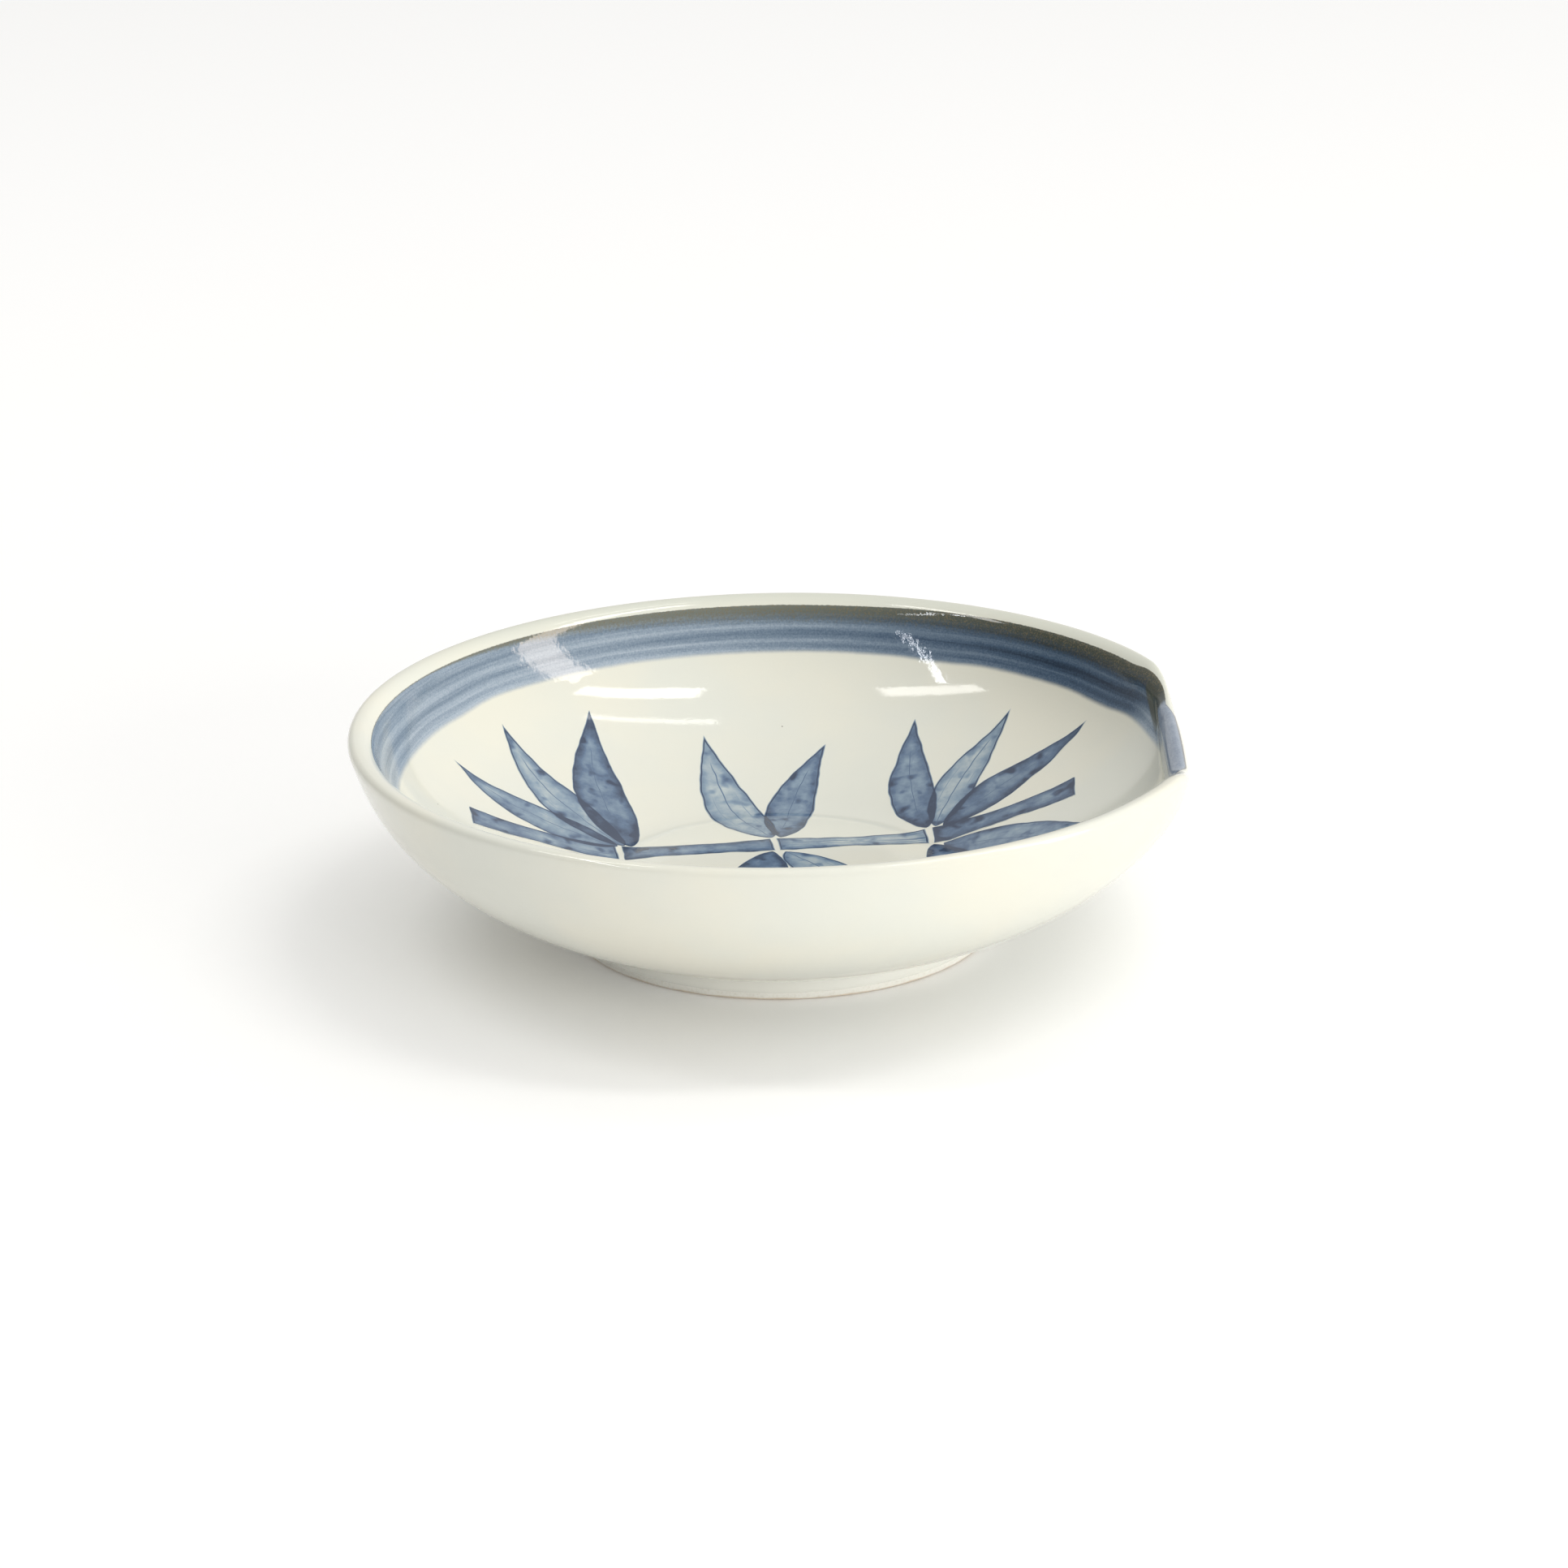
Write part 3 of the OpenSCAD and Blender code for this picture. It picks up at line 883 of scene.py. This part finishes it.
def cobalt_amount(t, spot):
    """How much cobalt lies at a place, with the brush's rings, streaks and grain."""
    moved = t.plus(t.times(spot.wobble, RING_WOBBLE), t.times(spot.fine, RING_FINE))
    moved = t.plus(spot.v, moved)
    much = t.step(spot.ax, -0.6, 1.0, LEAST_COBALT, MOST_COBALT)
    for middle, spread, more in RINGS:
        much = t.plus(much, t.times(t.line(moved, middle, spread), more))

    def brushed(count_round, count_across, detail, rough):
        round_x, round_y = t.times(spot.ax, count_round), t.times(spot.ay, count_round)
        strokes = t.join(round_x, round_y, t.times(spot.v, count_across))
        return t.minus(t.noise(strokes, 1.0, detail, rough), 0.5)

    streaks = brushed(STREAKS_ROUND, STREAKS_ACROSS, 3.0, 0.6)
    much = t.plus(much, t.times(streaks, STREAK_SHARE))
    hair_share = t.plus(HAIR_SHARE, facing(t, spot.around, 180, 0.78, 1.0, 0.0, MORE_HAIR_LEFT))
    much = t.plus(much, t.times(brushed(HAIRS_ROUND, HAIRS_ACROSS, 2.0, 0.5), hair_share))
    much = t.plus(much, t.step(moved, 0.6, 0.95, 0.0, LOW_PART_LESS))
    by_lip = t.step(spot.ax, cosine(BY_LIP_START), cosine(BY_LIP_FULL), 0.0, BY_LIP_LESS)
    much = t.plus(much, t.times(t.step(moved, 0.45, 0.7), by_lip))
    # Paler and flatter past the crease, a painted reflection over the cobalt, with streaks along
    # the edge
    along = t.join(t.times(spot.ay, 3.0), t.times(spot.z, 1.3), spot.crease)
    along = t.minus(t.noise(along, 1.0, 3.0, 0.65), 0.5)
    flat = t.plus(PAST_CREASE_COBALT_AND_SHEEN, t.times(along, PAST_CREASE_STREAK_SHARE))
    much = t.mix_number(spot.past, much, flat)
    grain = t.minus(t.noise(spot.at, GRAIN_SCALE, 1.0), 0.5)
    return t.plus(much, t.times(grain, GRAIN_SHARE))


def dark_edge(t, spot, colour):
    """Lays on the olive upper edge with its brown flecks, which runs down along the crease."""
    right = t.step(t.plus(t.times(spot.ax, 0.8), t.times(spot.ay, 0.55)), -0.6, 0.55)
    width = t.mix_number(right, OLIVE_W_LEFT, OLIVE_W_RIGHT)
    frayed = t.plus(t.math("DIVIDE", spot.down, width), t.times(spot.ragged, OLIVE_FRAY))
    olive = t.times(t.step(frayed, 0.25, 1.25, OLIVE_SHARE, 0.0), t.minus(1.0, spot.past))
    off_crease = t.math("ABSOLUTE", t.plus(spot.crease, CREASE_W))
    wedge = t.minus(t.step(spot.v, 0.3, 1.0, 1.0, 0.1), off_crease)
    wedge = t.step(wedge, 0.0, 0.3, 0.0, WEDGE_SHARE)
    wedge = t.times(wedge, t.step(spot.v, 0.6, 0.95, 1.0, 0.0))
    olive_now = t.mix(t.step(spot.ax, -0.2, 0.7), PALE_OLIVE_RGB, OLIVE_RGB)
    colour = t.mix(t.math("MAXIMUM", olive, wedge), colour, olive_now)
    flecks = t.step(t.noise(spot.at, FLECK_SCALE, 2.0), 0.52, 0.6, 0.0, FLECK_SHARE)
    colour = t.mix(t.times(flecks, olive), colour, BROWN_RGB)
    rim_line = t.line(spot.down, RIM_LINE_RUN, RIM_LINE_W)
    rim_line = t.times(rim_line, t.times(spot.lap, RIM_LINE_SHARE))
    return t.mix(rim_line, colour, BROWN_RGB)


def cobalt_over(t, at, white):
    """Lays the hand-brushed band, with its lap over the lip, on a white glaze."""
    spot = band_spot(t, at)
    colour = t.ramp(cobalt_amount(t, spot), COBALT_STOPS)
    # Painted reflection: lilac grey over the lip's facet past the crease
    colour = t.mix(t.times(spot.past, LILAC_REFLECTION_SHARE), colour, LILAC_REFLECTION_RGB)
    colour = dark_edge(t, spot, colour)
    # Soft ends
    low = t.plus(t.times(spot.wobble, LOW_WOBBLE), t.times(spot.fine, LOW_FINE))
    low_end = t.step(t.plus(spot.v, low), 0.89, 1.01, 1.0, 0.0)
    high_end = t.step(t.plus(spot.down, t.times(spot.ragged, 0.15)), -0.05, 0.08)
    return t.mix(t.times(high_end, low_end), white, colour)


def cobalt_band(t):
    at = t.millimetres()
    normal = glaze_normal(t, at, BAND_PEEL_DEPTH, BAND_PEEL_SCALE)
    return coat_look(cobalt_over(t, at, white_glaze(t, at)), normal)


# Painted shade on the rim, a greyer white: middle and half width of the strip, and its strength
# at the back of the dish
RIM_SHADE_RUN, RIM_SHADE_W, RIM_SHADE_SHARE = -1.6, 2.6, 0.75


def rim_glaze(t):
    """The outside coat, with shade painted greyer on the back of the rim, where the cobalt laps
    over it.
    """
    at = t.millimetres()
    x, y, z = t.split(at)
    # Painted shade: the greyer white on the rim grows toward the back of the dish
    behind = t.step(t.plus(y, t.times(x, 0.3)), -10.0, 35.0, 0.0, RIM_SHADE_SHARE)
    thin = t.times(t.line(t.number("run"), RIM_SHADE_RUN, RIM_SHADE_W), behind)
    white = t.mix(thin, white_glaze(t, at), RIM_SHADE_WHITE)
    return coat_look(cobalt_over(t, at, white), glaze_normal(t, at))


# Brushwork colours

INK_STOPS = [
    (0.0, (1.0, 1.0, 1.0, 1.0)), (0.22, (0.62, 0.7, 0.8, 1.0)), (0.45, (0.31, 0.42, 0.6, 1.0)),
    (0.65, (0.135, 0.215, 0.39, 1.0)), (0.85, (0.05, 0.08, 0.17, 1.0)),
    (1.0, (0.02, 0.03, 0.065, 1.0))]
# The most ink one stroke lays, and the most that shows where strokes cross
STROKE_MOST = 0.97
MOST_INK = 0.88
LEAST_WASH = 0.05
# How much ink each stroke is loaded with, which rises and falls from one to the next
LOAD, LOAD_SWING, LOAD_BEAT = 0.46, 0.14, 2.4
# The dark outline: its distance from the edge, its half width and its strength
LINE_MIDDLE, LINE_SPREAD, LINE_SHARE = 0.2, 0.24, 0.95
# Ink that pools along the edge and at a stroke's start, mottles the wash and blots it
POOL_SHARE = 0.16
START_SHARE = 0.14
MOTTLE_SCALE, MOTTLE_SHARE = 0.33, 0.75
BLOT_SCALE, BLOT_SHARE = 0.5, 0.28
# Half widths and strengths of the veins, the strength of dry lines, and the hand's shake
RIB_W, SIDE_RIB_W, RIB_SHARE, SIDE_RIB_SHARE = 0.2, 0.17, 0.7, 0.7
DRY_SHARE = 0.6
SHAKE_SCALE, SHAKE = 0.3, 0.6


def leaf_ink(t, given, along, inside, y, past):
    """Edge distance and veins of a leaf: one down the middle, and a shorter one on each side."""
    middle = t.times(given["Bow"], t.math("SINE", t.times(inside, math.pi)))
    bulge = t.math("SINE", t.times(t.math("POWER", inside, BULGE_SHARE), math.pi))
    half = t.times(t.times(given["Width"], 0.5), bulge)
    off = t.math("ABSOLUTE", t.minus(y, middle))
    edge = t.minus(t.minus(half, off), t.times(past, 2.0))
    ribs = t.times(t.line(off, 0.0, RIB_W), t.step(along, 0.72, 0.92, 1.0, 0.0))
    side = t.times(t.step(along, 0.1, 0.24), t.step(along, 0.5, 0.68, 1.0, 0.0))
    side = t.times(t.line(off, t.times(half, 0.5), SIDE_RIB_W), side)
    veins = t.math("MAXIMUM", ribs, t.times(side, SIDE_RIB_SHARE))
    return edge, t.times(veins, RIB_SHARE)


def stalk_ink(t, given, along, inside, y, past):
    """Edge distance of a length of stalk, and the dry brush lines that run down it."""
    waist = t.minus(1.0, t.times(t.math("SINE", t.times(inside, math.pi)), WAIST_SHARE))
    half = t.times(t.times(given["Width"], 0.5), waist)
    side = t.minus(half, t.math("ABSOLUTE", y))
    to_end = t.times(t.minus(0.5, t.math("ABSOLUTE", t.minus(along, 0.5))), given["Length"])
    edge = t.math("MINIMUM", side, to_end)
    dry = t.noise(t.join(t.times(along, 1.4), t.times(y, 2.6), given["Depth"]), 1.0, 2.0)
    return edge, t.step(dry, 0.5, 0.68, 0.0, DRY_SHARE)


def stroke_group(name, lines_of):
    """Nodes that give how much ink one brush stroke leaves at a place."""
    group = bpy.data.node_groups.new(name, "ShaderNodeTree")
    names = {"Place": "NodeSocketVector", "Start": "NodeSocketVector", "Turn": "NodeSocketVector",
             "Length": "NodeSocketFloat", "Width": "NodeSocketFloat", "Bow": "NodeSocketFloat",
             "Depth": "NodeSocketFloat", "Clear": "NodeSocketFloat"}
    for key, kind in names.items():
        group.interface.new_socket(key, in_out="INPUT", socket_type=kind)
    group.interface.new_socket("Clear", in_out="OUTPUT", socket_type="NodeSocketFloat")
    t = Tree(group)
    given = group.nodes.new("NodeGroupInput").outputs
    local = t.add("ShaderNodeMapping", {"Vector": given["Place"], "Location": given["Start"],
                                        "Rotation": given["Turn"]}, vector_type="TEXTURE")
    x, y, z = t.split(local)
    along = t.math("DIVIDE", x, given["Length"])
    inside = t.math("MINIMUM", t.math("MAXIMUM", along, 0.0), 1.0)
    past = t.math("ABSOLUTE", t.times(t.minus(along, inside), given["Length"]))
    edge, lines = lines_of(t, given, along, inside, y, past)
    covered = t.step(edge, -0.06, 0.1)
    outline = t.times(t.line(edge, LINE_MIDDLE, LINE_SPREAD), LINE_SHARE)
    pool = t.step(edge, 0.3, 1.5, POOL_SHARE, 0.0)
    mottle = t.noise(given["Place"], MOTTLE_SCALE, 4.0, 0.6)
    wash = t.plus(given["Depth"], t.times(t.minus(mottle, 0.5), MOTTLE_SHARE))
    blot = t.step(t.noise(given["Place"], BLOT_SCALE, 1.0), 0.54, 0.78, 0.0, BLOT_SHARE)
    wash = t.plus(wash, t.plus(pool, blot))
    wash = t.plus(wash, t.step(along, 0.0, 0.45, START_SHARE, 0.0))
    wash = t.math("MAXIMUM", wash, LEAST_WASH)
    ink = t.math("MAXIMUM", wash, t.math("MAXIMUM", outline, lines))
    ink = t.times(t.math("MINIMUM", ink, STROKE_MOST), covered)
    result = group.nodes.new("NodeGroupOutput")
    t.feed(result.inputs["Clear"], t.times(given["Clear"], t.minus(1.0, ink)))
    return group


def painted(t, at):
    """White glaze with the sprig brushed on it."""
    x, y, z = t.split(at)
    flat = t.join(x, y, 0.0)
    shake = t.add("ShaderNodeTexNoise", {"Vector": flat, "Scale": SHAKE_SCALE, "Detail": 1.0},
                  out="Color")
    shake = t.scaled(t.vector("SUBTRACT", shake, (0.5, 0.5, 0.5)), SHAKE)
    shaken = t.vector("ADD", flat, shake)
    groups = [(stroke_group("Stalk stroke", stalk_ink), STALKS),
              (stroke_group("Leaf stroke", leaf_ink), LEAVES)]
    placed = [(group, stroke) for group, strokes in groups for stroke in strokes]
    clear = 1.0
    for k, (group, (x0, y0, turn, length, width, bow)) in enumerate(placed):
        made = t.tree.nodes.new("ShaderNodeGroup")
        made.node_tree = group
        t.feed(made.inputs["Place"], shaken)
        made.inputs["Start"].default_value = (x0, y0, 0)
        made.inputs["Turn"].default_value = (0, 0, math.radians(turn))
        made.inputs["Length"].default_value = length
        made.inputs["Width"].default_value = width
        made.inputs["Bow"].default_value = bow
        made.inputs["Depth"].default_value = LOAD + LOAD_SWING * math.sin(LOAD_BEAT * k)
        t.feed(made.inputs["Clear"], clear)
        clear = made.outputs["Clear"]
    stain = t.ramp(t.math("MINIMUM", t.minus(1.0, clear), MOST_INK), INK_STOPS)
    return t.add("ShaderNodeMix", {0: 1.0, 6: white_glaze(t, at), 7: stain}, out=2,
                 data_type="RGBA", blend_type="MULTIPLY")


def painted_glaze(t):
    """The inside coat, which has the sprig below and the foot of the band above."""
    at = t.millimetres()
    return coat_look(cobalt_over(t, at, painted(t, at)), glaze_normal(t, at))


def brushed_cobalt(t):
    at = t.millimetres()
    return coat_look(painted(t, at), glaze_normal(t, at))


# Bare and hidden porcelain

BARE_RGB = srgb(246, 245, 238)
FLASH_RGB = srgb(214, 196, 172)
GRIT_RGB = srgb(234, 231, 221)
GRIT_SCALE, GRIT_DEPTH = 3.0, 0.008
GRIT_SMOOTH, GRIT_ROUGH = 0.5, 0.75
# The brown of the contact edge: the heights at which it is fullest and gone, and its strength
FLASH_FULL_Z, FLASH_END_Z, FLASH_SHARE = 0.12, 0.42, 0.75
FLASH_SCALE, FLASH_WANDER = 0.3, 0.5
CLAY_RGB = srgb(232, 229, 220)
WARM_CLAY_RGB = srgb(224, 220, 208)
CLAY_DRIFT_SCALE = 0.2
CLAY_ROUGHNESS = 0.5
CLAY_GRAIN_SCALE, CLAY_GRAIN_DEPTH = 2.5, 0.01


def bare_porcelain(t):
    """Fine matt clay with a faint grit, turned warm and brown by the fire at the contact edge."""
    at = t.millimetres()
    x, y, z = t.split(at)
    grit = t.noise(at, GRIT_SCALE, 4.0, 0.7)
    colour = t.mix(t.step(grit, 0.45, 0.75), BARE_RGB, GRIT_RGB)
    wander = t.times(t.minus(t.noise(at, FLASH_SCALE, 2.0), 0.5), FLASH_WANDER)
    flash = t.step(t.plus(z, wander), FLASH_FULL_Z, FLASH_END_Z, FLASH_SHARE, 0.0)
    colour = t.mix(flash, colour, FLASH_RGB)
    return {"Base Color": colour, "Roughness": t.step(grit, 0.3, 0.7, GRIT_SMOOTH, GRIT_ROUGH),
            "Normal": t.bump(grit, GRIT_DEPTH)}


def porcelain(t):
    """The clay under the glaze, plain white with a faint drift."""
    at = t.millimetres()
    colour = t.mix(t.noise(at, CLAY_DRIFT_SCALE, 3.0), CLAY_RGB, WARM_CLAY_RGB)
    grain = t.bump(t.noise(at, CLAY_GRAIN_SCALE, 2.0), CLAY_GRAIN_DEPTH)
    return {"Base Color": colour, "Roughness": CLAY_ROUGHNESS, "Normal": grain}


# The dish

def dress(obj, look, slot, *nodes):
    obj.data.materials.append(look)
    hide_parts(*nodes)


def build_dish():
    glaze = material("clear_glaze", clear_glaze)
    bare = material("bare_porcelain", bare_porcelain)
    dress(solid_body("bowl_clay", WHOLE_SKIN, WHOLE_RUN),
          material("porcelain", porcelain), "porcelain", "porcelain_body")
    dress(coat("outside_coat", OUTER_SKIN, OUTER_RUN),
          material("rim_glaze", rim_glaze), "clear_glaze", "outer_glaze")
    dress(coat("cobalt_ring", BAND_SKIN, BAND_RUN),
          material("cobalt_band", cobalt_band), "cobalt_band", "blue_band")
    dress(floor_coat("inside_coat", INNER_SKIN, INNER_RUN),
          material("painted_glaze", painted_glaze), "clear_glaze", "inner_glaze")
    dress(brushwork("bamboo_brushwork"),
          material("brushed_cobalt", brushed_cobalt), "cobalt_brushwork", "bamboo_painting")
    dress(lathe("foot_clay", foot_outline()), bare, "bare_porcelain", "foot_ring")
    dress(lathe("foot_coat", foot_glaze_outline()), glaze, "clear_glaze", "foot_glaze")
    dress(foot_well("foot_well_coat"), glaze, "clear_glaze", "foot_well_glaze")


# Stage, lights and camera

FLOOR_SIDE = 6.0
FLOOR_RGB = (0.95, 0.952, 0.96, 1.0)
FLOOR_ROUGHNESS = 0.9
FLOOR_GLOW = 0.06


def floor_look(t):
    return {"Base Color": FLOOR_RGB, "Roughness": FLOOR_ROUGHNESS,
            "Emission Color": (1.0, 1.0, 1.0, 1.0), "Emission Strength": FLOOR_GLOW}


def build_floor():
    half = FLOOR_SIDE / 2
    mesh = bpy.data.meshes.new("studio_floor")
    corners = [(-half, -half, 0), (half, -half, 0), (half, half, 0), (-half, half, 0)]
    mesh.from_pydata(corners, [], [(0, 1, 2, 3)])
    mesh.materials.append(material("studio_floor", floor_look))
    floor = bpy.data.objects.new("studio_floor", mesh)
    bpy.context.scene.collection.objects.link(floor)


# Brightness of the room: all round, and what is added to the right, in front, behind and overhead
ROOM_RGB = (1.0, 0.995, 0.975, 1.0)
ROOM_EVEN = 0.08
ROOM_RIGHT = 0.7
ROOM_FRONT = 0.33
ROOM_BEHIND = 0.55
ROOM_TOP = 0.82
ROOM_TOP_POWER = 3.0
LAMP_HEIGHT = 1.0
# Ceiling strips, all of one white: low corner and high corner in plan, and strength
STRIP_RGB = (1.0, 0.98, 0.94)
STRIPS = {
    "right_strip": ((0.22, -0.075), (0.8, 0.065), 8.1),
    "left_strip": ((-0.78, -0.06), (-0.29, 0.065), 7.2),
    "rear_strip": ((0.12, 0.3), (0.52, 0.345), 5.0),
}
# Other lamps: width, height, place, what they look at, strength, and colour
WINDOW = (0.25, 0.97, (0.95, -0.215, 0.515), (0, -0.215, 0.515), 7.5, (1.0, 0.86, 0.74))
BOX = (0.9, 0.5, (0.95, -0.95, 0.32), (0, 0, 0.02), 4.8, (1.0, 0.99, 0.96))
TUBE = (1.75, 0.04, (-0.95, -0.9, LAMP_HEIGHT), (0, 0, 0), 20.0, (0.92, 0.95, 1.0))
# How far the tube runs along X and Y
TUBE_RUN_X, TUBE_RUN_Y = 0.7, 1.6


def build_world():
    """A soft room, brighter overhead, behind and to the right."""
    world = bpy.data.worlds.new("room")
    world.use_nodes = True
    t = Tree(world.node_tree)
    x, y, z = t.split(t.add("ShaderNodeTexCoord", {}, out="Generated"))
    top = t.math("POWER", t.math("MAXIMUM", z, 0.0), ROOM_TOP_POWER)
    strength = t.plus(ROOM_EVEN, t.times(top, ROOM_TOP))
    for part, share in [(x, ROOM_RIGHT), (t.times(y, -1.0), ROOM_FRONT), (y, ROOM_BEHIND)]:
        strength = t.plus(strength, t.times(t.math("MAXIMUM", part, 0.0), share))
    back = world.node_tree.nodes["Background"]
    back.inputs["Color"].default_value = ROOM_RGB
    t.feed(back.inputs["Strength"], strength)
    bpy.context.scene.world = world


def lamp(name, width, height, place_at, look_at, radiance, colour):
    """A rectangular lamp, in metres, whose face shines with the same strength all over."""
    data = bpy.data.lights.new(name, "AREA")
    data.shape = "RECTANGLE"
    data.size = width
    data.size_y = height
    data.energy = radiance * math.pi * width * height
    data.color = colour
    obj = bpy.data.objects.new(name, data)
    bpy.context.scene.collection.objects.link(obj)
    obj.location = place_at
    obj.rotation_mode = "QUATERNION"
    obj.rotation_quaternion = (Vector(look_at) - Vector(place_at)).to_track_quat("-Z", "Y")
    return obj


def build_lights():
    for name, (low, high, radiance) in STRIPS.items():
        width, height = high[0] - low[0], high[1] - low[1]
        middle = ((low[0] + high[0]) / 2, (low[1] + high[1]) / 2, LAMP_HEIGHT)
        strip = lamp(name, width, height, middle, (0, 0, 0), radiance, STRIP_RGB)
        strip.rotation_quaternion = (1, 0, 0, 0)
    # The window and the tube are seen in reflections alone, and the box is seen in none
    window = lamp("window", *WINDOW)
    window.visible_diffuse = False
    box = lamp("front_right_box", *BOX)
    box.visible_glossy = False
    tube = lamp("left_tube", *TUBE)
    along = math.atan2(TUBE_RUN_Y, TUBE_RUN_X)
    tube.rotation_quaternion = Matrix.Rotation(along, 3, "Z").to_quaternion()
    tube.visible_diffuse = False


# Camera, fitted to the rim, the foot and the outline: lengths in millimetres, angles in degrees

PHOTO_SIDE = 1932
FOCAL_PX = 6247.7
SENSOR = 36
CAMERA_RISE = 19.587
CAMERA_AWAY = 591
CAMERA_ROLL = -0.727
CAMERA_SHIFT = (-0.458, 0, -17.229)
DISH_TURN = -1
CLIP_START, CLIP_END = 0.01, 20


def build_camera():
    data = bpy.data.cameras.new("camera")
    data.sensor_width = SENSOR
    data.lens = SENSOR * FOCAL_PX / PHOTO_SIDE
    camera = bpy.data.objects.new("camera", data)
    bpy.context.scene.collection.objects.link(camera)
    ahead = Vector((0, cosine(CAMERA_RISE), -sine(CAMERA_RISE)))
    right = Vector((1, 0, 0))
    up = Vector((0, sine(CAMERA_RISE), cosine(CAMERA_RISE)))
    right_now = cosine(CAMERA_ROLL) * right + sine(CAMERA_ROLL) * up
    up_now = -sine(CAMERA_ROLL) * right + cosine(CAMERA_ROLL) * up
    axes = Matrix((right_now, up_now, -ahead)).transposed().to_4x4()
    away = Matrix.Translation((-ahead * CAMERA_AWAY - Vector(CAMERA_SHIFT)) * MM)
    round_dish = Matrix.Rotation(math.radians(-DISH_TURN), 4, "Z")
    camera.matrix_world = round_dish @ away @ axes
    data.clip_start = CLIP_START
    data.clip_end = CLIP_END
    bpy.context.scene.camera = camera


bpy.context.scene.view_settings.view_transform = "Standard"
build_camera()
build_dish()
build_floor()
build_world()
build_lights()
